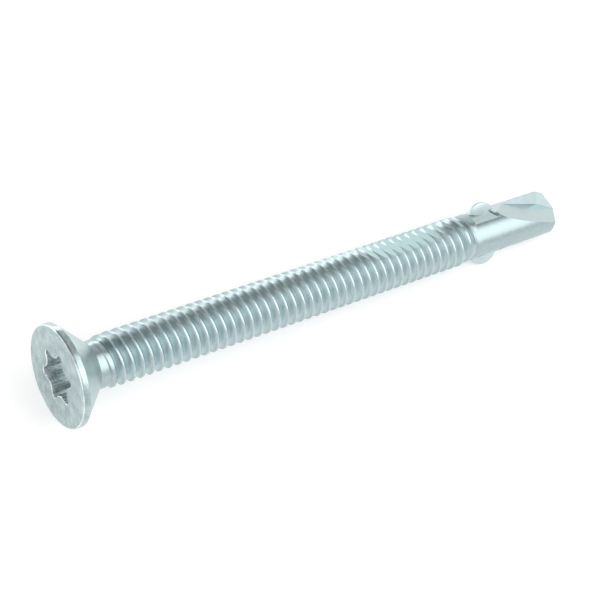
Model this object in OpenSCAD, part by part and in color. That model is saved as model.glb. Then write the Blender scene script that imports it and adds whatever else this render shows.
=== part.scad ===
// Countersunk self drilling screw with reaming wings, for fixing timber to steel.
// One forged and rolled piece, lying on its head rim and drill point as it would come to rest.
// It is drawn along its own axis first, with the flat of the head at z = 0 and the drill point
// upward, and the wings at 0 and 180 degrees. Then it is laid down, with the point toward +X.

/* [Head] */
// Diameter of the head over its rim
head_d = 10.6; // [9.6:0.1:11.6]
// Height of the straight rim, from the flat face
rim_h = 0.72; // [0.5:0.02:0.9]
// Radius of the rounding between the face and the rim
rim_round = 0.26; // [0.1:0.02:0.4]
// Included angle of the countersunk seat
seat_angle = 90; // [80:1:100]

/* [Six-lobe recess] */
// Width of the recess over its lobes
recess_d = 5.6; // [5.2:0.05:5.8]
// Width of the recess over its waists
waist_d = 3.95; // [3.8:0.05:4.1]
// Radius of each lobe's tip
lobe_r = 0.45; // [0.4:0.01:0.5]
// Depth of the straight walls of the recess
recess_depth = 2.3; // [1.8:0.1:2.6]
// Depth of the cone that the punch leaves below the walls
recess_cone = 0.5; // [0.2:0.05:0.7]

/* [Thread] */
// Diameter over the thread's crests
thread_d = 5.5; // [5.3:0.05:5.6]
// Diameter at the thread's roots
root_d = 4.34; // [4.2:0.02:4.6]
// Diameter of the plain neck that the thread grows from
neck_d = 4.9; // [4.7:0.05:5]
// Distance from one crest to the next, along the screw
crest_step = 1.075; // [1:0.005:1.15]
// Number of ridges that wind side by side
starts = 2; // [1, 2, 3]
// Width of the flat on each crest
crest_w = 0.18; // [0.08:0.01:0.24]
// Distance from the head's face at which the thread is at full height and depth
thread_full = 5.5; // [5:0.1:6]
// Distance from the head's face at which the last ridges begin to lose height
collar_at = 50.2; // [50:0.05:50.4]
// Diameter of the thread there
collar_d = 5.24; // [5.2:0.02:5.3]

/* [Chip flat] */
// Distance from the head's face to the middle of the flat milled across the thread
chip_at = 42.3; // [30:0.1:43]
// Length of that flat
chip_len = 13.6; // [8:0.1:14]
// Depth of that flat below the crests, at its middle
chip_depth = 0.65; // [0.3:0.05:0.7]
// Direction of that flat round the screw, from the first wing
chip_turn = 18.8; // [0:0.2:60]

/* [Drill point] */
// Length of the whole screw
length = 64.9; // [64:0.1:66]
// Diameter of the drill point's body
drill_d = 5.06; // [5:0.02:5.2]
// Distance from the head's face to the start of the drill point's body
drill_from = 50.68; // [50.5:0.02:50.8]
// Tilt of the two flank faces at the tip from the screw's axis
flank_tilt = 52; // [48:0.1:60]
// Tilt of each flute's main face from the screw's axis
flute_tilt = 15; // [14:0.1:16]
// Direction of the first flute's main face, from the first wing
flute_turn = 28.6; // [20:0.2:40]
// Direction of the flute's steep back face, from the first wing
back_turn = 86.6; // [80:0.2:92]

/* [Wings] */
// Distance from the screw's axis to the end of a wing, as the mean of both
wing_reach = 3.6; // [3.4:0.02:3.8]
// How much further the second wing reaches than the first, as they were pinched off centre
wing_shift = 0.16; // [0:0.02:0.2]
// Radius of each wing's round outline
wing_r = 1.86; // [1.7:0.02:2]
// Distance from the head's face to the middle of the wings
wing_at = 53.86; // [53.5:0.02:54.1]
// Thickness of each wing at its end
wing_tip_t = 0.32; // [0.28:0.02:0.5]
// Thickness of each wing where it leaves the body
wing_root_t = 1.9; // [1.6:0.02:2.2]
// Length of the pressed strips beside the wings
strip_len = 3.7; // [3:0.1:4.2]

/* [Rest] */
// Direction round the screw that faces straight down as it lies, from the first wing
down_turn = 227.25; // [222:0.05:232]

/* [Hidden] */
zinc = [0.74, 0.79, 0.8];
cut = 30;
inside = 0.01;

// Head
head_r = head_d / 2;
seat_half = seat_angle / 2;
seat_apex = rim_h + head_r / tan(seat_half);
neck_r = neck_d / 2;

// Recess, with each waist's radius chosen so that its arc runs smoothly into the lobes
lobe_at = recess_d / 2 - lobe_r;
waist_r = (lobe_r * lobe_r - lobe_at * lobe_at - waist_d * waist_d / 4 + lobe_at * waist_d * cos(30))
    / (waist_d - 2 * lobe_at * cos(30) - 2 * lobe_r);
waist_at = waist_d / 2 + waist_r;
lobe_turn = 30;
punch_margin = 0.1;
punch_end_r = 0.2;

// Thread
crest_r = thread_d / 2;
root_r = root_d / 2;
lead = crest_step * starts;
thread_from = 2.9;
thread_to = 51.95;
crest_phase = 5.34;
// Where the ridges begin to stand up and the grooves between them begin to sink
ridges_from = 4.2;
grooves_from = 4.5;
columns = 24;
ridge_rows = [-crest_w / 2, crest_w / 2, crest_step / 2];
first_row_at = crest_phase - crest_step * ceil((crest_phase - thread_from + lead) / crest_step);
ridge_count = ceil((thread_to - first_row_at) / crest_step) + 1;
rows_each = len(ridge_rows);
row_count = ridge_count * rows_each;
merge = 0.03;
flank_slope = (crest_r - root_r) / (crest_step / 2 - crest_w / 2);
// The last ridge widens to a collar that stands a little off the axis, between two leaning planes
collar_sink = 0.04;
collar_shift = 0.25;
collar_turn = -23;
// How the last ridges lose height: before and after collar_at, and from one side to the other
rise_slope = 1;
fall_slope = 0.12;
fall_shift = 0.06;
collar_full = 51.2;
collar_full_lean = 0.5;
collar_end = 51.56;
collar_end_lean = 7.1;

// Chip flat, as the path of a round cutter
chip_half = chip_len / 2;
cutter_r = (chip_half * chip_half + chip_depth * chip_depth) / (2 * chip_depth);
cutter_w = 12;

// Drill point
drill_r = drill_d / 2;
shoulder_len = 0.42;
flank_turn = 124;
// The first lip's outer corner, where the metal didn't fill the die
corner_turn = -15;
corner_at = 61.8;
corner_slope = 9.7;
// How far each face of a flute's back stands from the axis, and its slope along the screw
back_at = 62.98;
back_depth = 0.506;
back_slope = 4.5;
gash_slope = 15.7;

// Wings and the strips pressed beside them
ear_rim = wing_tip_t / 2 + 0.03;
ear_half = 1.15;
wing_root_at = 2.31;
strip_from = 51.75;
strip_turn = 33.2;
strip_r = drill_r - 0.05;
strip_half_w = 0.48;
// Flat that the die leaves between a wing and its flute
land_turn = 7;
land_r = drill_r - 0.16;
land_half_w = 0.9;
land_from = 54.9;
land_len = 4.6;
tear_at = 55;
tear_turn = 27;
tear_lean = 63;
tear_len = 1.3;
tear_w = 0.48;
tear_depth = 0.3;
// Sliver of metal that stands in the tear, held at the wing's end
sliver_len = 0.9;
sliver_w = 0.12;
sliver_lean = 8;

// Where the screw touches the ground as it lies: its rim, and the edge where the lower flute begins
touch_turn = 231.3;
touch_at = length - drill_r * cos(touch_turn - 180 - flute_turn) / tan(flute_tilt);
rest_tilt = atan((head_r - drill_r * cos(touch_turn - down_turn)) / (touch_at - rim_h));
axis_h = head_r + rim_h * tan(rest_tilt);
face_r = head_r - rim_round;
middle = (length * cos(rest_tilt) + (2 * axis_h - face_r) * sin(rest_tilt)) / 2;

// One revolved blank for the head, from the rounded face edge to the tip of its cone
module head_blank() {
    rotate_extrude($fn = 96)
        difference() {
            union() {
                polygon([[0, 0], [face_r, 0], [face_r, rim_round],
                    [head_r, rim_round], [head_r, rim_h], [0, seat_apex]]);
                translate([face_r, rim_round]) circle(r = rim_round, $fn = 32);
            }
            translate([-cut, -cut / 2]) square([cut, cut]);
        }
}

// Six-lobe outline, made of lobes and waists that meet in a smooth line
module six_lobe_outline() {
    difference() {
        union() {
            circle(r = lobe_at, $fn = 6);
            for (k = [0:5]) rotate(60 * k) translate([lobe_at, 0]) circle(r = lobe_r, $fn = 32);
        }
        for (k = [0:5]) rotate(60 * k + 30) translate([waist_at, 0]) circle(r = waist_r, $fn = 48);
    }
}

module recess() {
    rotate(lobe_turn) translate([0, 0, -1]) linear_extrude(1 + recess_depth) six_lobe_outline();
    translate([0, 0, recess_depth - inside])
        cylinder(r1 = waist_d / 2 - punch_margin, r2 = punch_end_r, h = recess_cone, $fn = 48);
}

// Share of the way that a place has come from one end of a stretch to the other
function share(s, from, to) = min(1, max(0, (s - from) / (to - from)));
// Radius that no ridge exceeds near the drill point
function highest_r(s, turn) =
    min(crest_r, collar_d / 2 + fall_shift * cos(turn - collar_turn)
        - (s < collar_at ? rise_slope : fall_slope) * (s - collar_at));
// Radius of the collar, which begins as steep as a ridge's flank and sinks into the drill body on one side
function collar_r(s, turn) =
    min(collar_d / 2, drill_r - collar_sink + collar_shift * cos(turn - collar_turn))
    - flank_slope * max(0, collar_full - collar_full_lean * cos(turn - collar_turn) - s);
// Radius of the thread: ridges stand up from the neck, grooves sink between them, and the collar ends it
function thread_r(s, turn) =
    let (
        from_crest = (s - crest_phase - lead * turn / 360) / crest_step,
        off = (from_crest - round(from_crest)) * crest_step,
        profile = crest_r - flank_slope * max(0, abs(off) - crest_w / 2),
        top = neck_r + (crest_r - neck_r) * share(s - off, ridges_from, thread_full),
        bottom = neck_r - (neck_r - root_r) * share(s, grooves_from, thread_full)
    )
    max(bottom, collar_r(s, turn), min(profile, top, highest_r(s, turn)));

// Places of the thread's rows, each row climbing with its ridge as it winds
function row_at(i, j) =
    first_row_at + crest_step * floor(i / rows_each) + ridge_rows[i % rows_each] + lead * j / columns;
function lowest(j) = max([for (i = [0:row_count - 1]) if (row_at(i, j) <= thread_from + merge) i]);
function highest(j) = min([for (i = [0:row_count - 1]) if (row_at(i, j) >= thread_to - merge) i]);

module thread() {
    low = [for (j = [0:columns - 1]) lowest(j)];
    high = [for (j = [0:columns - 1]) highest(j)];
    function place(i, j) = i <= low[j] ? thread_from : i >= high[j] ? thread_to : row_at(i, j);
    function point_of(i, j) =
        let (s = place(i, j), turn = 360 * j / columns, r = thread_r(s, turn))
        [r * cos(turn), r * sin(turn), s];
    // The column after the last one is the first, met one lead further up
    function index_of(i, j) =
        let (jj = j % columns, ii = j == columns ? i + starts * rows_each : i)
        jj * row_count + min(max(ii, low[jj]), high[jj]);
    points = [for (j = [0:columns - 1]) for (i = [0:row_count - 1]) point_of(i, j)];
    sides = [
        for (j = [0:columns - 1]) for (i = [-starts * rows_each:row_count - 2])
            for (t = [
                [index_of(i, j), index_of(i + 1, j + 1), index_of(i, j + 1)],
                [index_of(i, j), index_of(i + 1, j), index_of(i + 1, j + 1)]
            ])
                if (t[0] != t[1] && t[1] != t[2] && t[2] != t[0]) t
    ];
    bottom = [for (j = [0:columns - 1]) index_of(low[j], j)];
    top = [for (j = [columns - 1:-1:0]) index_of(high[j], j)];
    polyhedron(points = points, faces = concat(sides, [bottom, top]));
}

// Flat across the thread, left by a round cutter whose axis lies across the screw
module chip_flat() {
    rotate(chip_turn) translate([crest_r - chip_depth + cutter_r, 0, chip_at])
        rotate([90, 0, 0]) cylinder(r = cutter_r, h = cutter_w, center = true, $fn = 180);
}

// The rolled stretch, ended by a plane that leans a little
module rolled() {
    difference() {
        thread();
        translate([0, 0, collar_end]) rotate(collar_turn) rotate([0, -collar_end_lean, 0])
            translate([-cut / 2, -cut / 2, 0]) cube(cut);
    }
}

module drill_blank() {
    rotate_extrude($fn = 96)
        polygon([[0, drill_from], [root_r, drill_from], [drill_r, drill_from + shoulder_len],
            [drill_r, length], [0, length]]);
}

// All the space in front of a plane: the plane crosses at reach from the axis at height at,
// faces the direction turn and leans back from the axis by slope toward the tip
module in_front(turn, at, reach, slope) {
    rotate(turn) translate([reach, 0, at]) rotate([0, -slope, 0])
        translate([0, -cut / 2, -cut / 2]) cube(cut);
}

// One flute: a broad tilted main face, a steep back face and a gash to the tip
module flute() {
    intersection() {
        in_front(flute_turn, length, 0, flute_tilt);
        in_front(back_turn, back_at, -back_depth, back_slope);
        in_front(back_turn, back_at, -back_depth, -gash_slope);
    }
}

// One wing: a round ear with domed faces and a thin rim, thicker where it leaves the body
module wing(reach) {
    edge_at = reach + wing_tip_t * (reach - wing_root_at) / (wing_root_t - wing_tip_t);
    dome = [for (side = [1, -1]) for (k = [0:15:90])
        let (a = side > 0 ? k : 90 - k)
        [wing_r * sin(a), side * (ear_rim + (ear_half - ear_rim) * cos(a))]];
    intersection() {
        translate([reach - wing_r, 0, wing_at]) rotate([90, 0, 0])
            rotate_extrude($fn = 96) polygon(dome);
        translate([0, 0, wing_at - 2 * wing_r]) linear_extrude(4 * wing_r)
            polygon([[0, wing_root_t / 2], [wing_root_at, wing_root_t / 2], [edge_at, 0],
                [wing_root_at, -wing_root_t / 2], [0, -wing_root_t / 2]]);
    }
}

// Shallow strip that the forging die leaves on each side of a wing
module strip(turn) {
    rotate(turn) translate([strip_r, -strip_half_w, strip_from]) cube([1, 2 * strip_half_w, strip_len]);
}

// Shallow flat between a wing and its flute
module land() {
    rotate(land_turn) translate([land_r, -land_half_w, land_from]) cube([1, 2 * land_half_w, land_len]);
}

// Tear in the metal between a wing and the start of the flute, with a sliver left standing in it
module tear() {
    rotate(tear_turn) translate([drill_r, 0, tear_at]) rotate([-tear_lean, 0, 0])
        difference() {
            cube([2 * tear_depth, tear_w, tear_len], center = true);
            translate([-tear_depth - inside, 0, -tear_len / 2 - inside]) rotate([sliver_lean, 0, 0])
                translate([0, -sliver_w / 2, 0]) cube([tear_depth, sliver_w, sliver_len]);
        }
}

// The drill point's body with its flutes, flanks and flats
module drill() {
    difference() {
        drill_blank();
        for (side = [0, 180]) rotate(side) {
            flute();
            land();
            in_front(flank_turn, length, 0, flank_tilt);
        }
        in_front(corner_turn, corner_at, drill_r, corner_slope);
    }
}

module screw_upright() {
    difference() {
        union() {
            head_blank();
            rolled();
            drill();
            wing(wing_reach - wing_shift / 2);
            rotate(180) wing(wing_reach + wing_shift / 2);
        }
        recess();
        chip_flat();
        for (side = [0, 180]) rotate(side) {
            strip(strip_turn);
            strip(-strip_turn);
            tear();
        }
    }
}

// Turned so that down_turn faces the ground, tipped over, and set down on the rim and the point
module screw() {
    color(zinc)
        translate([-middle, 0, 0])
        rotate([0, rest_tilt, 0])
        translate([0, 0, axis_h])
        rotate([0, 90, 0])
        rotate(-down_turn)
        screw_upright();
}

screw();
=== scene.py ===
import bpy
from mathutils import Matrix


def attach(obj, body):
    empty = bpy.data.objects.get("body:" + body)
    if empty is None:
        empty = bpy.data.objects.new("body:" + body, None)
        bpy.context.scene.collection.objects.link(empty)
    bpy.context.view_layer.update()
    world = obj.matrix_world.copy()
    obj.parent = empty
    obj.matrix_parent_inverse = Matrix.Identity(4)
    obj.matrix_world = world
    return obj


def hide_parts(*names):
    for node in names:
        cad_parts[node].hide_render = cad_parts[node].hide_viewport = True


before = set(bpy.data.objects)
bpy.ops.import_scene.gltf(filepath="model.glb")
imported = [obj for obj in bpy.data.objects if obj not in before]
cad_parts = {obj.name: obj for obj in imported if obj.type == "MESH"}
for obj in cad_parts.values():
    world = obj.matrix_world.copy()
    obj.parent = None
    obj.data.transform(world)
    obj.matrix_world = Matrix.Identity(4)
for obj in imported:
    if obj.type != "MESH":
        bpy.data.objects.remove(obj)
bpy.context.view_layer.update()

import bmesh
import bpy
from math import atan, atan2, ceil, cos, degrees, pi, radians, sin, tan
from mathutils import Matrix

# The screw is built along its own axis in millimetres: the head's face at 0, the tip upward,
# the wings at 0 and 180 degrees. It is laid down on its rim and point at the end.

# Cutters reach this far past what they cut, and solids this far into each other
clear = 1
overlap = 0.01


def makeSolid(name, points, faces):
    mesh = bpy.data.meshes.new(name)
    mesh.from_pydata(points, [], faces)
    mesh.validate()
    solid = bpy.data.objects.new(name, mesh)
    bpy.context.collection.objects.link(solid)
    return solid


# Turns an outline of (radius, height) points about the axis; both ends lie on the axis
def revolve(name, outline, columns):
    points = [(0, 0, outline[0][1]), (0, 0, outline[-1][1])]
    rings = outline[1:-1]
    for radius, height in rings:
        for j in range(columns):
            turn = 2 * pi * j / columns
            points.append((radius * cos(turn), radius * sin(turn), height))
    faces = []
    last = 2 + (len(rings) - 1) * columns
    for j in range(columns):
        k = (j + 1) % columns
        faces.append((0, 2 + k, 2 + j))
        faces.append((1, last + j, last + k))
        for i in range(len(rings) - 1):
            low = 2 + i * columns
            faces.append((low + j, low + k, low + columns + k, low + columns + j))
    return makeSolid(name, points, faces)


# Straight walls over an outline of (x, y) points that runs anticlockwise
def prism(name, outline, bottom, top):
    count = len(outline)
    points = [(x, y, bottom) for x, y in outline] + [(x, y, top) for x, y in outline]
    faces = [tuple(range(count - 1, -1, -1)), tuple(range(count, 2 * count))]
    for i in range(count):
        k = (i + 1) % count
        faces.append((i, k, count + k, count + i))
    return makeSolid(name, points, faces)


def block(name, low, high):
    outline = [(low[0], low[1]), (high[0], low[1]), (high[0], high[1]), (low[0], high[1])]
    return prism(name, outline, low[2], high[2])


def shift(solid, *moves):
    for move in moves:
        solid.data.transform(move)
    return solid


def aboutAxis(turn):
    return Matrix.Rotation(radians(turn), 4, "Z")


def lean(angle, axis):
    return Matrix.Rotation(radians(angle), 4, axis)


def joinBy(operation, solid, tool):
    change = solid.modifiers.new("shape", "BOOLEAN")
    change.operation = operation
    change.solver = "MANIFOLD"
    change.object = tool
    shaped = bpy.data.meshes.new_from_object(
        solid.evaluated_get(bpy.context.evaluated_depsgraph_get()))
    solid.modifiers.clear()
    solid.data = shaped
    bpy.data.objects.remove(tool)
    return solid


def add(solid, tool):
    return joinBy("UNION", solid, tool)


def cut(solid, tool):
    return joinBy("DIFFERENCE", solid, tool)


def common(solid, tool):
    return joinBy("INTERSECT", solid, tool)


def arc(centreR, centreS, radius, fromAngle, toAngle, steps):
    angles = [radians(fromAngle + (toAngle - fromAngle) * k / steps) for k in range(steps + 1)]
    return [(centreR + radius * cos(a), centreS + radius * sin(a)) for a in angles]


headSizes = {
    "rimR": 5.3,
    "rimHeight": 0.72,
    # the flat face's radius in the part's source, which the middle of its box follows from
    "faceR": 5.04,
    # from the face to the rim: how far inside the rim, and how far below the face
    "edgeSteps": ((0.14, 0), (0.1, 0.01), (0.065, 0.032), (0.042, 0.066), (0.032, 0.1), (0.02, 0.13),
        (0.006, 0.165), (0, 0.21)),
    "seatHalfAngle": 45,
    "seatRound": 0.09,
    "roundSteps": 3,
    "columns": 160,
}


def headBlank(size):
    corner = [(size["rimR"] - inset, depth) for inset, depth in size["edgeSteps"]]
    half = size["seatHalfAngle"]
    # small rounding between the rim and the seat
    reach = size["seatRound"] * tan(radians((90 - half) / 2))
    lower = arc(size["rimR"] - size["seatRound"], size["rimHeight"] - reach, size["seatRound"],
        0, 90 - half, size["roundSteps"])
    apex = size["rimHeight"] + size["rimR"] / tan(radians(half))
    outline = [(0, 0), *corner, *lower, (0, apex)]
    return revolve("headBlank", outline, size["columns"])


recessSizes = {
    "overLobes": 5.6,
    "overWaists": 3.95,
    "lobeR": 0.45,
    "depth": 2.3,
    "coneDepth": 0.5,
    "coneMargin": 0.1,
    "coneEndR": 0.2,
    "turn": 30,
    "mouthRound": 0.07,
    "mouthSteps": 4,
    "arcSteps": 10,
    "coneColumns": 64,
}


# Six lobes and waists that meet in a smooth line, grown outward by more
def sixLobes(size, more):
    lobeR = size["lobeR"]
    lobeAt = size["overLobes"] / 2 - lobeR
    waist = size["overWaists"] / 2
    cos30 = cos(radians(30))
    waistR = ((lobeR ** 2 - lobeAt ** 2 - waist ** 2 + 2 * lobeAt * waist * cos30)
        / (2 * waist - 2 * lobeAt * cos30 - 2 * lobeR))
    waistAt = waist + waistR
    # where a lobe meets a waist, seen from the waist's centre and from the lobe's
    across = (waistAt * cos30 - lobeAt, waistAt * sin(radians(30)))
    meet = atan2(across[1], across[0])
    outline = []
    for k in range(6):
        for i in range(size["arcSteps"] + 1):
            turn = -meet + 2 * meet * i / size["arcSteps"] + radians(60 * k)
            centre = (lobeAt * cos(radians(60 * k)), lobeAt * sin(radians(60 * k)))
            outline.append((centre[0] + (lobeR + more) * cos(turn),
                centre[1] + (lobeR + more) * sin(turn)))
        middle = radians(60 * k + 30)
        centre = (waistAt * cos(middle), waistAt * sin(middle))
        half = meet - radians(30)
        for i in range(1, size["arcSteps"]):
            turn = middle + pi + half - 2 * half * i / size["arcSteps"]
            outline.append((centre[0] + (waistR - more) * cos(turn),
                centre[1] + (waistR - more) * sin(turn)))
    return outline


def recess(size):
    # the mouth is rounded: rings of the outline that widen as they near the face
    mouth, steps = size["mouthRound"], size["mouthSteps"]
    rings = [(sixLobes(size, 0), size["depth"])]
    for k in range(steps + 1):
        a = radians(90 * k / steps)
        rings.append((sixLobes(size, mouth * (1 - cos(a))), mouth * (1 - sin(a))))
    rings.append((sixLobes(size, mouth), -clear))
    count = len(rings[0][0])
    points = [(x, y, s) for outline, s in rings for x, y in outline]
    faces = [tuple(range(count)), tuple(range((len(rings) - 1) * count, len(rings) * count))[::-1]]
    for r in range(len(rings) - 1):
        for i in range(count):
            k = (i + 1) % count
            faces.append((r * count + k, r * count + i, (r + 1) * count + i, (r + 1) * count + k))
    walls = shift(makeSolid("recess", points, faces), aboutAxis(size["turn"]))
    coneR = size["overWaists"] / 2 - size["coneMargin"]
    top = size["depth"] - overlap
    end = top + size["coneDepth"]
    cone = revolve("recessCone", [(0, top), (coneR, top), (size["coneEndR"], end), (0, end)],
        size["coneColumns"])
    return add(walls, cone)


threadSizes = {
    "crestR": 2.75,
    "rootR": 2.17,
    "neckR": 2.45,
    "step": 1.075,
    "starts": 2,
    "crestWidth": 0.18,
    "firstCrest": 5.34,
    "from": 2.9,
    "to": 51.95,
    # where the ridges begin to stand up, the grooves between them begin to sink, and both are full
    "ridgesFrom": 4.2,
    "groovesFrom": 4.5,
    "full": 5.5,
    "columns": 104,
    # places across one ridge, from its crest
    "rows": (-0.5, -0.45, -0.33, -0.21, -0.13, -0.105, -0.075, -0.03, 0.03, 0.075, 0.105, 0.13, 0.25, 0.4,
        0.5, 0.5375),
    "crestRound": 0.035,
    "rootRound": 0.05,
    # how softly the ridges meet their limits, and how near its ends the thread has no other row
    "topBlend": 0.04,
    "blend": 0.03,
    "endGap": 0.03,
    # the last ridges stand a little further apart, and the last one is flatter on its head side
    "stretch": 0.27,
    "stretchFrom": 48.9,
    "stretchTo": 49.8,
    "lastFlat": 0.26,
    "lastFrom": 48.9,
    "lastTo": 49.6,
}

# The last ridges lose height, and widen to a collar that stands off the axis between two leaning planes
collarSizes = {
    # the height from which no ridge passes r, and how fast that limit drops before and after it
    "at": 50.2,
    "r": 2.62,
    "dropBefore": 1.0,
    "dropAfter": 0.12,
    "dropShift": 0.06,
    # the collar's own radius, and how far it stands off the axis and which way
    "sunkR": 2.49,
    "shift": 0.25,
    "turn": -23,
    # the plane where it is full and the one where it ends
    "full": 51.2,
    "fullLean": 0.5,
    "end": 51.56,
    "endLean": 7.1,
    "edgeRound": 0.05,
}


# Slope 0 before x0 and 1 after it, with the corner between them rounded over width
def softStep(x, x0, width):
    t = (x - x0) / width
    if t <= -1:
        return 0
    if t >= 1:
        return x - x0
    return width * (t + 1) ** 2 / 4


def flankSlope(size):
    return (size["crestR"] - size["rootR"]) / (size["step"] / 2 - size["crestWidth"] / 2)


def threadProfile(size, off):
    drop = softStep(abs(off), size["crestWidth"] / 2, size["crestRound"])
    drop -= softStep(abs(off), size["step"] / 2, size["rootRound"])
    return size["crestR"] - flankSlope(size) * drop


def share(s, start, end):
    return min(1, max(0, (s - start) / (end - start)))


# The lower of two heights, with the corner between them rounded over width
def softLower(a, b, width):
    mix = min(1, max(0, 0.5 + (b - a) / (2 * width)))
    return b + (a - b) * mix - width * mix * (1 - mix)


def softHigher(a, b, width):
    return -softLower(-a, -b, width)


# Radius that no ridge exceeds near the drill point
def highestR(size, crestR, s, turn):
    side = cos(turn - radians(size["turn"]))
    slope = size["dropBefore"] if s < size["at"] else size["dropAfter"]
    return min(crestR, size["r"] + size["dropShift"] * side - slope * (s - size["at"]))


# Radius of the collar, which begins as steep as a ridge's flank
def collarR(size, slope, s, turn):
    side = cos(turn - radians(size["turn"]))
    before = size["full"] - size["fullLean"] * side - s
    return (min(size["r"], size["sunkR"] + size["shift"] * side)
        - slope * softStep(before, 0, size["edgeRound"]))


def thread(size, collar):
    lead = size["step"] * size["starts"]
    columns, rows = size["columns"], size["rows"]
    start, end = size["from"], size["to"]
    first = size["firstCrest"] - size["step"] * ceil((size["firstCrest"] - start + lead) / size["step"])
    ridges = ceil((end - first) / size["step"]) + 1
    rowCount = ridges * len(rows)

    def rowAt(i, j):
        return first + size["step"] * (i // len(rows)) + rows[i % len(rows)] + lead * j / columns

    def stretched(s):
        return s + size["stretch"] * share(s, size["stretchFrom"], size["stretchTo"])

    # even is the height before the stretch
    def surfaceR(s, turn, even):
        fromCrest = (even - size["firstCrest"] - lead * turn / (2 * pi)) / size["step"]
        off = (fromCrest - round(fromCrest)) * size["step"]
        neck = size["neckR"]
        top = neck + (size["crestR"] - neck) * share(s - off, size["ridgesFrom"], size["full"])
        bottom = neck - (neck - size["rootR"]) * share(s, size["groovesFrom"], size["full"])
        if off < 0:
            flat = size["lastFlat"] * share(even - off, size["lastFrom"], size["lastTo"])
            off = min(0, off + flat * (1 + 2 * off / size["step"]))
        ridge = softLower(threadProfile(size, off), top, size["topBlend"])
        # the limit stays one blend above a full ridge, so that it leaves the ridge as it is
        limit = highestR(collar, size["crestR"] + size["blend"], s, turn)
        ridge = softLower(ridge, limit, size["blend"])
        lowest = bottom if s < size["full"] else collarR(collar, flankSlope(size), s, turn)
        return softHigher(ridge, lowest, size["blend"])

    gap = size["endGap"]
    low = [max(i for i in range(rowCount) if rowAt(i, j) <= start + gap) for j in range(columns)]
    high = [min(i for i in range(rowCount) if stretched(rowAt(i, j)) >= end - gap) for j in range(columns)]
    points, number = [], {}
    for j in range(columns):
        for i in range(low[j], high[j] + 1):
            even = rowAt(i, j)
            s = start if i == low[j] else end if i == high[j] else stretched(even)
            turn = 2 * pi * j / columns
            r = surfaceR(s, turn, even)
            number[i, j] = len(points)
            points.append((r * cos(turn), r * sin(turn), s))

    # the column after the last one is the first, met one lead further up
    def indexOf(i, j):
        if j == columns:
            i, j = i + size["starts"] * len(rows), 0
        return number[min(max(i, low[j]), high[j]), j]

    faces = []
    for j in range(columns):
        for i in range(-size["starts"] * len(rows), rowCount - 1):
            corners = [indexOf(i, j), indexOf(i, j + 1), indexOf(i + 1, j + 1), indexOf(i + 1, j)]
            for face in ((corners[0], corners[1], corners[2]), (corners[0], corners[2], corners[3])):
                if len(set(face)) == 3:
                    faces.append(face)
    faces.append(tuple(indexOf(low[j], j) for j in range(columns - 1, -1, -1)))
    faces.append(tuple(indexOf(high[j], j) for j in range(columns)))
    return makeSolid("thread", points, faces)


chipSizes = {
    "at": 42.3,
    "length": 13.6,
    "depth": 0.575,
    # the depth falls off toward both ends by this power of the way there
    "power": 2.8,
    "turn": 19.8,
    "width": 12,
    "steps": 60,
}


# Space of the cutter that mills the flat across the thread
def chipCutter(size, crestR):
    half = size["length"] / 2
    curve = []
    for k in range(size["steps"] + 1):
        s = (half + clear) * (1 - 2 * k / size["steps"])
        curve.append((crestR - size["depth"] * (1 - abs(s / half) ** size["power"]), s))
    outline = curve + [(crestR + clear, curve[-1][1]), (crestR + clear, curve[0][1])]
    cutter = prism("chipCutter", outline, -size["width"] / 2, size["width"] / 2)
    return shift(cutter, lean(90, "X"), Matrix.Translation((0, 0, size["at"])), aboutAxis(size["turn"]))


drillSizes = {
    "length": 64.9,
    "bodyR": 2.53,
    # the body begins as a short cone
    "from": 50.68,
    "fromR": 2.17,
    "shoulder": 0.42,
    "shoulderRound": 0.03,
    # the ground flanks that meet at the tip
    "flankTilt": 52,
    "flankTurn": 124,
    # each flute's main face, its back face and the gash that widens it toward the tip
    "fluteTilt": 15,
    "fluteTurn": 28.6,
    "backTurn": 86.6,
    "backAt": 62.98,
    "backDepth": 0.506,
    "backSlope": 4.5,
    "gashSlope": 15.7,
    # the first lip's outer corner, which is missing
    "cornerTurn": -15,
    "cornerAt": 62.75,
    "cornerSlope": 24,
    # the shallow flat pressed on each land
    "landTurn": 7,
    "landR": 2.37,
    "landHalfWidth": 0.9,
    "landFrom": 54.9,
    "landLength": 4.6,
    "columns": 160,
    "rows": 24,
}


# All the space in front of a plane that crosses at reach from the axis at a height,
# faces the direction turn and leans back from the axis toward the tip
def inFront(turn, at, reach, slope):
    far = 30
    space = block("space", (0, -far / 2, -far / 2), (far, far / 2, far / 2))
    return shift(space, lean(-slope, "Y"), Matrix.Translation((reach, 0, at)), aboutAxis(turn))


def drillPoint(size):
    r, soft, rows = size["bodyR"], size["shoulderRound"], size["rows"]
    shoulder = size["from"] + size["shoulder"]
    straight = [(r, shoulder + soft + (size["length"] - shoulder - soft) * k / rows)
        for k in range(rows + 1)]
    body = revolve("drillPoint", [(0, size["from"]), (size["fromR"], size["from"]),
        (r - soft, shoulder - soft), *straight, (0, size["length"])], size["columns"])
    for side in (0, 180):
        flute = inFront(size["fluteTurn"], size["length"], 0, size["fluteTilt"])
        common(flute, inFront(size["backTurn"], size["backAt"], -size["backDepth"], size["backSlope"]))
        common(flute, inFront(size["backTurn"], size["backAt"], -size["backDepth"], -size["gashSlope"]))
        land = block("land", (size["landR"], -size["landHalfWidth"], size["landFrom"]),
            (size["landR"] + clear, size["landHalfWidth"], size["landFrom"] + size["landLength"]))
        shift(land, aboutAxis(size["landTurn"]))
        flank = inFront(size["flankTurn"], size["length"], 0, size["flankTilt"])
        for tool in (flute, land, flank):
            cut(body, shift(tool, aboutAxis(side)))
    return cut(body, inFront(size["cornerTurn"], size["cornerAt"], r, size["cornerSlope"]))


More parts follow.
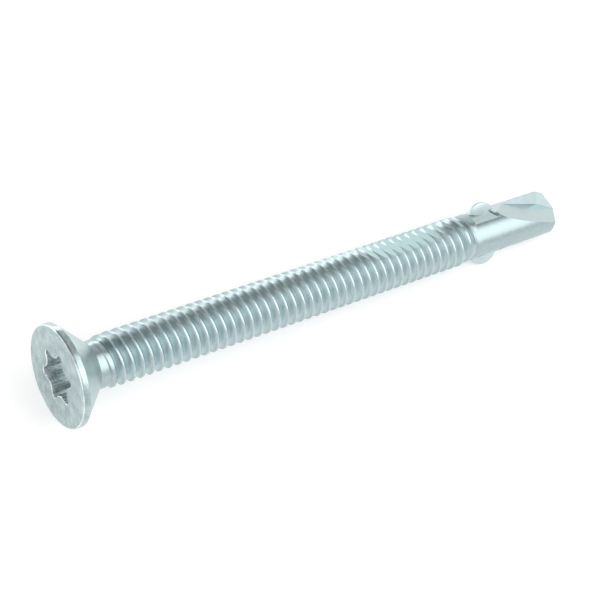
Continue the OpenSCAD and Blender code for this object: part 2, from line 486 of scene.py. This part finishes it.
wingSizes = {
    # how far each wing reaches from the axis
    "reach": (3.52, 3.68),
    "outlineR": 1.86,
    "at": 53.86,
    "endThickness": 0.32,
    "rootThickness": 2.35,
    "rootAt": 2.31,
    "rimHalf": 0.14,
    # how quickly the wing thins from its middle to its rim
    "domePower": 0.75,
    "rimRound": 0.06,
    "columns": 144,
    "rings": 30,
    # the hollow strips pressed on both sides of each wing
    "stripFrom": 51.75,
    "stripLength": 3.7,
    "stripTurn": 33.2,
    "stripR": 2.48,
    "stripHalfWidth": 0.48,
    # the tear between a wing and its flute
    "tearAt": 55,
    "tearTurn": 27,
    "tearLean": 63,
    "tearSize": (0.6, 0.48, 1.3),
    "sliverSize": (0.3, 0.12, 0.9),
    "sliverLean": 8,
}


# A round wing with domed faces and a thin rim, thicker where it leaves the body
def wing(size, reach):
    r, soft = size["outlineR"], size["rimRound"]
    edgeAt = reach + size["endThickness"] * (reach - size["rootAt"]) / (
        size["rootThickness"] - size["endThickness"])

    def halfAt(x, d):
        wedge = size["rootThickness"] / 2 * min(1, (edgeAt - x) / (edgeAt - size["rootAt"]))
        thicker = max(0, wedge - size["rimHalf"])
        return size["rimHalf"] + thicker * (1 - min(1, d / r) ** 2) ** size["domePower"]

    # distances from the wing's middle, closer together toward the rim, then the rounded rim itself
    places = [((r - soft) * sin(pi / 2 * k / size["rings"]), 0) for k in range(1, size["rings"] + 1)]
    places += [(r - soft + soft * sin(a), soft * (1 - cos(a))) for a in (pi / 6, pi / 3, pi / 2)]
    points, faces = [], []
    centre = reach - r
    count = size["columns"]
    for side in (1, -1):
        points.append((centre, side * halfAt(centre, 0), size["at"]))
        for d, drop in places:
            for j in range(count):
                a = 2 * pi * j / count
                x = centre + d * cos(a)
                y = halfAt(centre + min(d, r - soft) * cos(a), min(d, r - soft)) - drop
                points.append((x, side * y, size["at"] + d * sin(a)))
    other = 1 + len(places) * count
    for j in range(count):
        k = (j + 1) % count
        faces.append((0, 1 + k, 1 + j))
        faces.append((other, other + 1 + j, other + 1 + k))
        for i in range(len(places) - 1):
            low = 1 + i * count
            faces.append((low + j, low + k, low + count + k, low + count + j))
            low += other
            faces.append((low + k, low + j, low + count + j, low + count + k))
        last = 1 + (len(places) - 1) * count
        faces.append((last + j, last + k, other + last + k, other + last + j))
    return makeSolid("wing", points, faces)


# Space of one hollow strip
def strip(size, turn):
    tool = block("strip", (size["stripR"], -size["stripHalfWidth"], size["stripFrom"]),
        (size["stripR"] + clear, size["stripHalfWidth"], size["stripFrom"] + size["stripLength"]))
    return shift(tool, aboutAxis(turn))


# The tear's space, less the sliver of metal that stands in it
def tear(size, bodyR):
    x, y, z = (side / 2 for side in size["tearSize"])
    tool = block("tear", (-x, -y, -z), (x, y, z))
    deep, wide, long = size["sliverSize"]
    sliver = shift(block("sliver", (0, -wide / 2, 0), (deep, wide / 2, long)),
        lean(size["sliverLean"], "X"), Matrix.Translation((-deep - overlap, 0, -z - overlap)))
    cut(tool, sliver)
    return shift(tool, lean(-size["tearLean"], "X"), Matrix.Translation((bodyR, 0, size["tearAt"])),
        aboutAxis(size["tearTurn"]))


# The side of the upright screw that turns down, and where its point touches the floor
restSizes = {
    "downTurn": 227.25,
    "touchTurn": 231.3,
}


# Laid on its rim and on the edge where the lower flute begins, with the point toward +X
def layDown(solid, head, drill, rest):
    down, touch = rest["downTurn"], rest["touchTurn"]
    touchAt = drill["length"] - (drill["bodyR"] * cos(radians(touch - 180 - drill["fluteTurn"]))
        / tan(radians(drill["fluteTilt"])))
    tilt = atan((head["rimR"] - drill["bodyR"] * cos(radians(touch - down)))
        / (touchAt - head["rimHeight"]))
    axisHeight = head["rimR"] + head["rimHeight"] * tan(tilt)
    middle = (drill["length"] * cos(tilt) + (2 * axisHeight - head["faceR"]) * sin(tilt)) / 2
    return shift(solid, aboutAxis(-down), lean(90, "Y"), Matrix.Translation((0, 0, axisHeight)),
        Matrix.Rotation(tilt, 4, "Y"), Matrix.Translation((-middle, 0, 0)), Matrix.Scale(0.001, 4))


# Angles from which an edge stays sharp; flat faces lie above a height and within a radius
edgeAngles = {
    "round": 32,
    "flat": 8,
    "flatFrom": 51.95,
    "wingFromR": 2.56,
}


# The forged point's flat faces keep their edges, and the rounded thread and head shade smoothly
def markEdges(mesh):
    mesh.shade_smooth()
    shape = bmesh.new()
    shape.from_mesh(mesh)
    for edge in shape.edges:
        place = edge.verts[0].co
        flat = place.z > edgeAngles["flatFrom"] and place.xy.length < edgeAngles["wingFromR"]
        limit = radians(edgeAngles["flat"] if flat else edgeAngles["round"])
        edge.smooth = edge.calc_face_angle(0) < limit
    shape.to_mesh(mesh)
    shape.free()


def buildScrew():
    screw = headBlank(headSizes)
    print("stage: head and recess")
    cut(screw, recess(recessSizes))
    print("stage: thread")
    ridges = cut(thread(threadSizes, collarSizes), recess(recessSizes))
    far = 10
    beyond = block("beyond", (-far, -far, 0), (far, far, far))
    cut(ridges, shift(beyond, lean(-collarSizes["endLean"], "Y"), aboutAxis(collarSizes["turn"]),
        Matrix.Translation((0, 0, collarSizes["end"]))))
    add(screw, ridges)
    print("stage: drill point and wings")
    add(screw, drillPoint(drillSizes))
    for side, reach in zip((0, 180), wingSizes["reach"]):
        add(screw, shift(wing(wingSizes, reach), aboutAxis(side)))
    cut(screw, chipCutter(chipSizes, threadSizes["crestR"]))
    for side in (0, 180):
        for turn in (wingSizes["stripTurn"], -wingSizes["stripTurn"]):
            cut(screw, shift(strip(wingSizes, turn), aboutAxis(side)))
        cut(screw, shift(tear(wingSizes, drillSizes["bodyR"]), aboutAxis(side)))
    screw.name = "threadedScrew"
    own = screw.data.attributes.new("ownPlace", "FLOAT_VECTOR", "POINT")
    own.data.foreach_set("vector", [c for v in screw.data.vertices for c in v.co])
    markEdges(screw.data)
    return screw


def addNode(tree, kind, inputs=None, **settings):
    node = tree.nodes.new("ShaderNode" + kind)
    for name, value in settings.items():
        setattr(node, name, value)
    for name, value in (inputs or {}).items():
        if isinstance(value, bpy.types.NodeSocket):
            tree.links.new(value, node.inputs[name])
        else:
            node.inputs[name].default_value = value
    return node


def maths(tree, operation, a, b=0, c=0):
    return addNode(tree, "Math", {0: a, 1: b, 2: c}, operation=operation).outputs[0]


def ramp(tree, value, start, end, low=0, high=1):
    return addNode(tree, "MapRange", {"Value": value, "From Min": start, "From Max": end, "To Min": low,
        "To Max": high}).outputs["Result"]


# Mixes two colours, each given by its three values or by a socket
def mixed(tree, mask, a, b):
    a, b = ((*colour, 1) if isinstance(colour, tuple) else colour for colour in (a, b))
    return addNode(tree, "Mix", {"Factor": mask, 6: a, 7: b}, data_type="RGBA").outputs[2]


def newGroup(name, sockets):
    group = bpy.data.node_groups.new(name, "ShaderNodeTree")
    for way, socket, kind in sockets:
        group.interface.new_socket(socket, in_out=way, socket_type="NodeSocket" + kind)
    return group, group.nodes.new("NodeGroupInput"), group.nodes.new("NodeGroupOutput")


# Noises of the zinc's large crystals, fine ones and streaks; each swings about its mean
grainNoise = {
    "mottle": {"Detail": 3, "Roughness": 0.55},
    "fine": {"Scale": 9, "Detail": 2, "Roughness": 0.5},
    "streaks": {"Scale": 1, "Detail": 3, "Roughness": 0.6},
    "swing": 4,
    "fineHeight": 0.35,
}


# Crystals and rubbed streaks of the zinc: how light, how rough and how high each place is
def makeGrain(noises):
    group, given, result = newGroup("zincGrain", (
        ("INPUT", "Place", "Vector"), ("INPUT", "Streak Place", "Vector"),
        ("INPUT", "Mottle Scale", "Float"), ("INPUT", "Mottle", "Float"),
        ("INPUT", "Fine", "Float"), ("INPUT", "Streaks", "Float"), ("INPUT", "Roughness", "Float"),
        ("INPUT", "Roughness Range", "Float"),
        ("OUTPUT", "Tone", "Float"), ("OUTPUT", "Roughness", "Float"), ("OUTPUT", "Height", "Float")))
    place = given.outputs["Place"]
    mottle = addNode(group, "TexNoise", {"Vector": place, "Scale": given.outputs["Mottle Scale"],
        **noises["mottle"]})
    fine = addNode(group, "TexNoise", {"Vector": place, **noises["fine"]})
    streaks = addNode(group, "TexNoise", {"Vector": given.outputs["Streak Place"], **noises["streaks"]})
    total = 1
    for noise, amount in ((mottle, "Mottle"), (fine, "Fine"), (streaks, "Streaks")):
        swing = maths(group, "MULTIPLY_ADD", noise.outputs["Fac"], noises["swing"], -noises["swing"] / 2)
        total = maths(group, "MULTIPLY_ADD", swing, given.outputs[amount], total)
    rough = maths(group, "MULTIPLY_ADD", mottle.outputs["Fac"], 2, -1)
    rough = maths(group, "MULTIPLY_ADD", rough, given.outputs["Roughness Range"],
        given.outputs["Roughness"])
    height = maths(group, "MULTIPLY_ADD", fine.outputs["Fac"], noises["fineHeight"], streaks.outputs["Fac"])
    group.links.new(total, result.inputs["Tone"])
    group.links.new(rough, result.inputs["Roughness"])
    group.links.new(height, result.inputs["Height"])
    return group


# Patches of the rubbing and of the painted highlight
wearAndHighlightNoise = {
    "patches": {"Scale": 1.1, "Detail": 3},
    # how much is rubbed and painted bright between two levels of the noise
    "cover": (0.3, 0.6, 0.55, 1),
}


# Where a raised edge is lighter, in patches: rubbing with a painted highlight on the crests, a painted
# highlight on the head's corner and the recess's mouth
def makeWearAndHighlight(noises):
    group, given, result = newGroup("rubbedEdgesAndHighlights", (
        ("INPUT", "Place", "Vector"), ("INPUT", "Raised", "Float"), ("OUTPUT", "Mask", "Float")))
    patches = addNode(group, "TexNoise", {"Vector": given.outputs["Place"], **noises["patches"]})
    cover = ramp(group, patches.outputs["Fac"], *noises["cover"])
    group.links.new(maths(group, "MULTIPLY", cover, given.outputs["Raised"]), result.inputs["Mask"])
    return group


# Each finish: its colour, its lighter colour on raised edges (on the crests partly rubbed wear and partly a
# painted highlight, on the head's corner and the recess's mouth a painted highlight), and its lighter
# colour deep in the grooves, which is painted fill light against their shade, as a clean white room shows
# them, which way its streaks run, and the amounts of its grain
finishes = {
    "rolledZinc": {"colour": (0.378, 0.47, 0.485), "rubbedAndHighlight": (0.5, 0.605, 0.625),
        # the deep colour is lighter than the thread's own: painted fill light in the grooves, against their
        # shade
        "deep": (0.53, 0.65, 0.675), "streaks": "rolled", "bump": 0.1,
        "grain": {"Mottle Scale": 1.7, "Mottle": 0.05, "Fine": 0.05, "Streaks": 0.02,
            "Roughness": 0.28, "Roughness Range": 0.08}},
    # The head's lighter colour along its corner is a painted highlight
    "headZinc": {"colour": (0.41, 0.505, 0.512), "rubbedAndHighlight": (0.74, 0.82, 0.82), "streaks": "wiped",
        "bump": 0.2,
        "grain": {"Mottle Scale": 0.8, "Mottle": 0.3, "Fine": 0.05, "Streaks": 0.12,
            "Roughness": 0.27, "Roughness Range": 0.16}},
    # The seat is painted a little lighter than the head, as fill light against the shade it mirrors; the
    # flutes' back faces share this finish
    "seatZinc": {"colour": (0.45, 0.55, 0.562), "streaks": "pressed", "bump": 0.12,
        "grain": {"Mottle Scale": 1.2, "Mottle": 0.07, "Fine": 0.05, "Streaks": 0.04,
            "Roughness": 0.34, "Roughness Range": 0.08}},
    # The recess is painted lighter than the zinc elsewhere, as fill light against its shade, and its mouth
    # lighter still as a painted highlight
    "recessZincPaintedFill": {"colour": (0.78, 0.85, 0.86), "rubbedAndHighlight": (0.8, 0.87, 0.88), "streaks": "pressed",
        "bump": 0.4,
        "grain": {"Mottle Scale": 1.5, "Mottle": 0.08, "Fine": 0.05, "Streaks": 0.65,
            "Roughness": 0.28, "Roughness Range": 0.1}},
    "pressedZinc": {"colour": (0.505, 0.608, 0.617), "streaks": "pressed", "bump": 0.12,
        "grain": {"Mottle Scale": 0.9, "Mottle": 0.05, "Fine": 0.03, "Streaks": 0.03,
            "Roughness": 0.25, "Roughness Range": 0.06}},
    "milledZinc": {"colour": (0.53, 0.72, 0.725), "streaks": "pressed", "bump": 0.15,
        "grain": {"Mottle Scale": 1.5, "Mottle": 0.05, "Fine": 0.03, "Streaks": 0.04,
            "Roughness": 0.3, "Roughness Range": 0.08}},
    "wingZinc": {"colour": (0.55, 0.655, 0.665), "streaks": "pressed", "bump": 0.15,
        "grain": {"Mottle Scale": 1.2, "Mottle": 0.06, "Fine": 0.04, "Streaks": 0.02,
            "Roughness": 0.52, "Roughness Range": 0.08}},
}

grainDepth = 4e-6

# Rolling leaves streaks round the axis, given by how fine they are by radius, side and height.
# Wiping leaves them across the head and pressing along the axis, given by the screw's own axes
streakLooks = {
    "rolled": {"scale": (9, 0.4, 9)},
    "wiped": {"scale": (0.35, 2.4, 1), "turn": -35},
    "pressed": {"scale": (7, 7, 0.15), "turn": 0},
}


def streakPlaces(tree, kind, place, radius):
    look = streakLooks[kind]
    if kind == "rolled":
        x, y, s = addNode(tree, "SeparateXYZ", {0: place}).outputs
        parts = [maths(tree, "MULTIPLY", part, scale) for part, scale in zip((radius, x, s), look["scale"])]
        return addNode(tree, "CombineXYZ", dict(zip("XYZ", parts))).outputs[0]
    return addNode(tree, "Mapping", {"Vector": place, "Rotation": (0, 0, radians(look["turn"])),
        "Scale": look["scale"]}).outputs[0]


# Radii on the ridges between which they are rubbed and carry a painted highlight, and below which a groove
# is matt and painted lighter as fill light against its shade; the heights between which the grooves begin
# and the ridges end
ridgeWearAndPaintedLight = {
    "crestWearAndHighlightR": (2.69, 2.745),
    "deepR": (2.6, 2.25),
    "deepRough": 0.08,
    "grooved": (4.6, 5.8),
    "until": (51.1, 50.9),
}

# The head is painted lighter along its corner and at the recess's mouth, as a painted highlight
headHighlight = {
    "cornerR": (5.13, 5.19),
    "cornerDepth": (0.11, 0.05),
    "mouthDepth": (0.12, 0.03),
}


# A groove's mask, for its matt finish and for its painted fill light
def grooveFillLightAndMattMask(tree, radius, s):
    onThread = ramp(tree, s, *ridgeWearAndPaintedLight["until"])
    deep = maths(tree, "MULTIPLY", ramp(tree, radius, *ridgeWearAndPaintedLight["deepR"]), onThread)
    return maths(tree, "MULTIPLY", deep, ramp(tree, s, *ridgeWearAndPaintedLight["grooved"]))


# How far each place stands out on the ridges, on the head's corner or at the recess's mouth, which places
# the crests' wear and the painted highlights
def raisedWearAndHighlightMask(tree, name, radius, s):
    if name == "rolledZinc":
        # The crests are lighter: partly rubbed wear, partly a painted highlight
        onThread = ramp(tree, s, *ridgeWearAndPaintedLight["until"])
        return maths(tree, "MULTIPLY", ramp(tree, radius, *ridgeWearAndPaintedLight["crestWearAndHighlightR"]), onThread)
    if name == "headZinc":
        corner = ramp(tree, radius, *headHighlight["cornerR"])
        return maths(tree, "MULTIPLY", corner, ramp(tree, s, *headHighlight["cornerDepth"]))
    return ramp(tree, s, *headHighlight["mouthDepth"])


def zincMaterial(name, grain, wearAndHighlight):
    look = finishes[name]
    material = bpy.data.materials.new(name)
    material.use_nodes = True
    tree = material.node_tree
    shader = tree.nodes["Principled BSDF"]
    place = addNode(tree, "Attribute", attribute_name="ownPlace").outputs["Vector"]
    x, y, s = addNode(tree, "SeparateXYZ", {0: place}).outputs
    across = addNode(tree, "CombineXYZ", {"X": x, "Y": y}).outputs[0]
    radius = addNode(tree, "VectorMath", {0: across}, operation="LENGTH").outputs["Value"]
    streakPlace = streakPlaces(tree, look["streaks"], place, radius)
    grains = addNode(tree, "Group", {"Place": place, "Streak Place": streakPlace, **look["grain"]},
        node_tree=grain)
    colour, rough = look["colour"], grains.outputs["Roughness"]
    # Grooves are matt, and painted lighter as fill light against their shade
    if "deep" in look:
        deep = grooveFillLightAndMattMask(tree, radius, s)
        rough = maths(tree, "MULTIPLY_ADD", deep, ridgeWearAndPaintedLight["deepRough"], rough)
        colour = mixed(tree, deep, colour, look["deep"])
    # Rubbed crests, and painted highlights on the head's corner and the recess's mouth
    if "rubbedAndHighlight" in look:
        rubbingAndHighlight = addNode(tree, "Group", {"Place": place, "Raised": raisedWearAndHighlightMask(tree, name, radius, s)},
            node_tree=wearAndHighlight)
        colour = mixed(tree, rubbingAndHighlight.outputs["Mask"], colour, look["rubbedAndHighlight"])
    toned = addNode(tree, "VectorMath", {0: colour, "Scale": grains.outputs["Tone"]}, operation="SCALE")
    bump = addNode(tree, "Bump", {"Strength": look["bump"], "Distance": grainDepth,
        "Height": grains.outputs["Height"]})
    tree.links.new(toned.outputs[0], shader.inputs["Base Color"])
    tree.links.new(rough, shader.inputs["Roughness"])
    tree.links.new(bump.outputs["Normal"], shader.inputs["Normal"])
    shader.inputs["Metallic"].default_value = 1
    return material


# Limits that tell the upright screw's faces apart
faceLimits = {
    # the recess lies below the face and within this radius
    "faceDepth": 0.001,
    "recessR": 3.1,
    # a milled face turns the flat's way by this cosine, and has a corner this far below the crests
    "milledCos": 0.99,
    "belowCrest": 0.02,
    # a face of the round body keeps its radius and faces straight out
    "bodyGap": 0.01,
    "bodyCos": 0.97,
    # a wing's face passes the body's radius, and a flute's back face keeps its turn in degrees
    "wingGap": 0.05,
    "backGap": 1,
}


# Which finish each face of the upright screw has
def finishOf(face, points, limits):
    middle, normal = face.center, face.normal
    radii = [points[v].co.xy.length for v in face.vertices]
    if limits["faceDepth"] < middle.z < threadSizes["from"] and max(radii) < limits["recessR"]:
        return "recessZincPaintedFill"
    if middle.z < headSizes["rimHeight"]:
        return "headZinc"
    if middle.z < threadSizes["from"]:
        return "seatZinc"
    if middle.z < edgeAngles["flatFrom"]:
        turn = radians(chipSizes["turn"])
        facing = normal.dot((cos(turn), sin(turn), 0))
        milled = (abs(middle.z - chipSizes["at"]) < chipSizes["length"] / 2
            and facing > limits["milledCos"]
            and min(radii) < threadSizes["crestR"] - limits["belowCrest"])
        return "milledZinc" if milled else "rolledZinc"
    bodyR = drillSizes["bodyR"]
    onBody = all(abs(r - bodyR) < limits["bodyGap"] for r in radii)
    if onBody and middle.xy.normalized().dot(normal.xy) > limits["bodyCos"]:
        return "rolledZinc"
    # a face and the one half a turn away have the same turn here
    turn = abs((degrees(atan2(normal.y, normal.x)) + 90) % 180 - 90)
    if abs(turn - drillSizes["backTurn"]) < limits["backGap"]:
        return "seatZinc"
    return "wingZinc" if max(radii) > bodyR + limits["wingGap"] else "pressedZinc"


def dressScrew(screw):
    grain, wearAndHighlight = makeGrain(grainNoise), makeWearAndHighlight(wearAndHighlightNoise)
    screw.data.materials.clear()
    for name in finishes:
        screw.data.materials.append(zincMaterial(name, grain, wearAndHighlight))
    order = list(finishes)
    points = screw.data.vertices
    for face in screw.data.polygons:
        face.material_index = order.index(finishOf(face, points, faceLimits))


# A matt grey paint that also glows white
def glowPaint(name, grey, roughness):
    material = bpy.data.materials.new(name)
    material.use_nodes = True
    shader = material.node_tree.nodes["Principled BSDF"]
    shader.inputs["Base Color"].default_value = (grey, grey, grey, 1)
    shader.inputs["Roughness"].default_value = roughness
    shader.inputs["Specular IOR Level"].default_value = 0
    shader.inputs["Emission Color"].default_value = (1, 1, 1, 1)
    return material, shader


# 1 for rays from the camera, a mirror or glass, and 0 for the light that the backdrop casts
def seenRays(tree):
    path = addNode(tree, "LightPath").outputs
    direct = maths(tree, "MAXIMUM", path["Is Camera Ray"], path["Is Glossy Ray"])
    return maths(tree, "MAXIMUM", direct, path["Is Transmission Ray"])


floorLook = {
    "side": 3,
    "grey": 0.7,
    "roughness": 0.9,
    "glow": 0.4,
}


def makeFloor(look):
    side = look["side"]
    floor = makeSolid("floor", [(-side, -side, 0), (side, -side, 0), (side, side, 0), (-side, side, 0)],
        [(0, 1, 2, 3)])
    paint, shader = glowPaint("paleFloor", look["grey"], look["roughness"])
    tree = paint.node_tree
    glow = maths(tree, "MULTIPLY", seenRays(tree), look["glow"])
    tree.links.new(glow, shader.inputs["Emission Strength"])
    floor.data.materials.append(paint)


# Boards outside the picture, grey ones that stand and white ones that lie, which the bright metal mirrors.
# Each is an outline of (x, z) points on an upright plane at a y, or of (x, y) points at a height
boards = {
    "leftBoard": {"upright": True, "at": 0.05, "level": 0.32,
        "outline": ((-0.18, 0.035), (-0.06, 0.015), (-0.02, 0.0144), (-0.02, 0.25), (-0.18, 0.25))},
    "middleBoard": {"upright": True, "at": 0.05, "level": 0.75,
        "outline": ((-0.02, 0.0144), (0, 0.014), (0.022, 0.018), (0.022, 0.25), (-0.02, 0.25))},
    "rightBoard": {"upright": True, "at": 0.05, "level": 0.42,
        "outline": ((0.022, 0.018), (0.03, 0.02), (0.076, 0.066), (0.1, 0.075), (0.2, 0.12), (0.2, 0.25),
            (0.022, 0.25))},
    "nearCard": {"upright": False, "at": 0.0004, "level": 2.0,
        "outline": ((-0.008, 0.012), (0.018, 0.012), (0.018, 0.036), (-0.008, 0.036))},
    "farCard": {"upright": False, "at": 0.0004, "level": 2.0,
        "outline": ((-0.075, 0.036), (0.016, 0.036), (0.016, 0.09), (-0.075, 0.09))},
}


def makeBoards():
    for name, board in boards.items():
        at = board["at"]
        corners = [(p, at, q) if board["upright"] else (p, q, at) for p, q in board["outline"]]
        card = makeSolid(name, corners, [tuple(range(len(corners)))])
        paint, shader = glowPaint(name, 0, 1)
        shader.inputs["Emission Strength"].default_value = board["level"]
        card.data.materials.append(paint)
        card.visible_camera = card.visible_shadow = card.visible_diffuse = False


# The white room's level for the soft light it casts, and where it is seen or mirrored
roomLook = {
    "light": 0.85,
    "seen": 1,
}


def makeWorld(look):
    world = bpy.data.worlds.new("whiteRoom")
    bpy.context.scene.world = world
    world.use_nodes = True
    tree = world.node_tree
    background = tree.nodes["Background"]
    background.inputs["Color"].default_value = (1, 1, 1, 1)
    level = ramp(tree, seenRays(tree), 0, 1, look["light"], look["seen"])
    tree.links.new(level, background.inputs["Strength"])


# Each lamp stands off from a point that it faces
lamps = {
    "softbox": {"about": (0, 0, 0), "azimuth": -38, "elevation": 50.5, "distance": 0.5,
        "size": (0.5, 0.61), "power": 0.48, "turn": 90, "spread": 110},
    "fill": {"about": (0, 0, 0), "azimuth": -150, "elevation": 36, "distance": 0.6,
        "size": (0.5, 0.5), "power": 0.3, "turn": 0, "spread": 180},
    "lowStrip": {"about": (-0.035, 0, 0), "azimuth": 90, "elevation": 6, "distance": 0.075,
        "size": (0.0152, 0.1), "power": 0.0105, "turn": 0, "spread": 180},
}


def makeLamps():
    for name, look in lamps.items():
        lamp = bpy.data.lights.new(name, "AREA")
        lamp.shape = "RECTANGLE"
        lamp.size, lamp.size_y = look["size"]
        lamp.energy = look["power"]
        lamp.spread = radians(look["spread"])
        place = bpy.data.objects.new(name, lamp)
        bpy.context.collection.objects.link(place)
        out = (Matrix.Rotation(radians(look["azimuth"]), 4, "Z")
            @ Matrix.Rotation(radians(-look["elevation"]), 4, "Y"))
        place.matrix_world = (Matrix.Translation(look["about"]) @ out
            @ Matrix.Translation((look["distance"], 0, 0)) @ lean(90, "Y") @ lean(look["turn"], "Z"))
        place.visible_camera = False


cameraPlace = {
    "place": (-0.08661289, -0.05005226, 0.14763022),
    "turn": (29.00746548, -18.23170786, -29.68500776),
    "lens": 99.602605,
    "sensor": 36,
    "nearest": 0.01,
}


def makeCamera(look):
    camera = bpy.data.cameras.new("camera")
    camera.lens = look["lens"]
    camera.sensor_width = look["sensor"]
    camera.clip_start = look["nearest"]
    place = bpy.data.objects.new("camera", camera)
    bpy.context.collection.objects.link(place)
    place.location = look["place"]
    place.rotation_euler = [radians(turn) for turn in look["turn"]]
    bpy.context.scene.camera = place


screw = buildScrew()
print("stage: zinc")
dressScrew(screw)
layDown(screw, headSizes, drillSizes, restSizes)
screw.data.calc_loop_triangles()
print("stage: the screw has", len(screw.data.loop_triangles), "triangles")
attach(screw, "root")
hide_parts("screw")
print("stage: floor, light and camera")
makeFloor(floorLook)
makeWorld(roomLook)
makeLamps()
makeBoards()
makeCamera(cameraPlace)
bpy.context.scene.view_settings.view_transform = "Standard"
